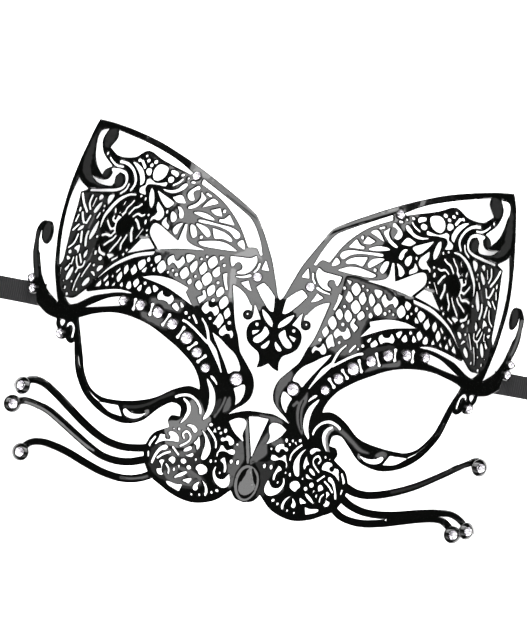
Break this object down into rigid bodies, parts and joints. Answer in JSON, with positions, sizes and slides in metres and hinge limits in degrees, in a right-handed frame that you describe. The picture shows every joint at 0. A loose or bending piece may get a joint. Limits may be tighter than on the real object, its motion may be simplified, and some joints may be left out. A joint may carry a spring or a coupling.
{
  "type": "metal cat mask",
  "caption": "Half mask of pierced black metal shaped as a cat's face, bent round the wearer's face, with ears, eye holes, whiskers, clear crystals and ribbon ties.",
  "frame": {"origin": "middle of the mask's own box, on the surface that it lies on, leaving out the ribbons", "axes": "+X to the right as seen from the front, +Y towards the ears, +Z out of the front of the mask, which lies on its back"},
  "size_m": [0.3736, 0.1495, 0.0546],
  "materials": {
    "black_paint": "gloss black paint",
    "crystal": "clear faceted crystal with a mirror back",
    "ribbon": "black ribbed woven ribbon"
  },
  "bodies": {
    "root": {"mask_plate": "black_paint", "left_brow_crystal_1": "crystal", "left_brow_crystal_2": "crystal", "left_brow_crystal_3": "crystal", "left_brow_crystal_4": "crystal", "left_brow_crystal_5": "crystal", "left_brow_crystal_6": "crystal", "left_brow_crystal_7": "crystal", "left_ear_crystal": "crystal", "left_forehead_crystal": "crystal", "left_nose_crystal": "crystal", "left_scroll_crystal_1": "crystal", "left_scroll_crystal_2": "crystal", "left_temple_crystal": "crystal", "left_whisker_crystal_1": "crystal", "left_whisker_crystal_2": "crystal", "left_whisker_crystal_3": "crystal", "right_brow_crystal_1": "crystal", "right_brow_crystal_2": "crystal", "right_brow_crystal_3": "crystal", "right_brow_crystal_4": "crystal", "right_brow_crystal_5": "crystal", "right_brow_crystal_6": "crystal", "right_brow_crystal_7": "crystal", "right_ear_crystal": "crystal", "right_forehead_crystal": "crystal", "right_nose_crystal": "crystal", "right_scroll_crystal_1": "crystal", "right_scroll_crystal_2": "crystal", "right_temple_crystal": "crystal", "right_whisker_crystal_1": "crystal", "right_whisker_crystal_2": "crystal", "right_whisker_crystal_3": "crystal", "left_ribbon": "ribbon", "left_ribbon_coil": "ribbon", "right_ribbon": "ribbon", "right_ribbon_coil": "ribbon"}
  },
  "joints": []
}
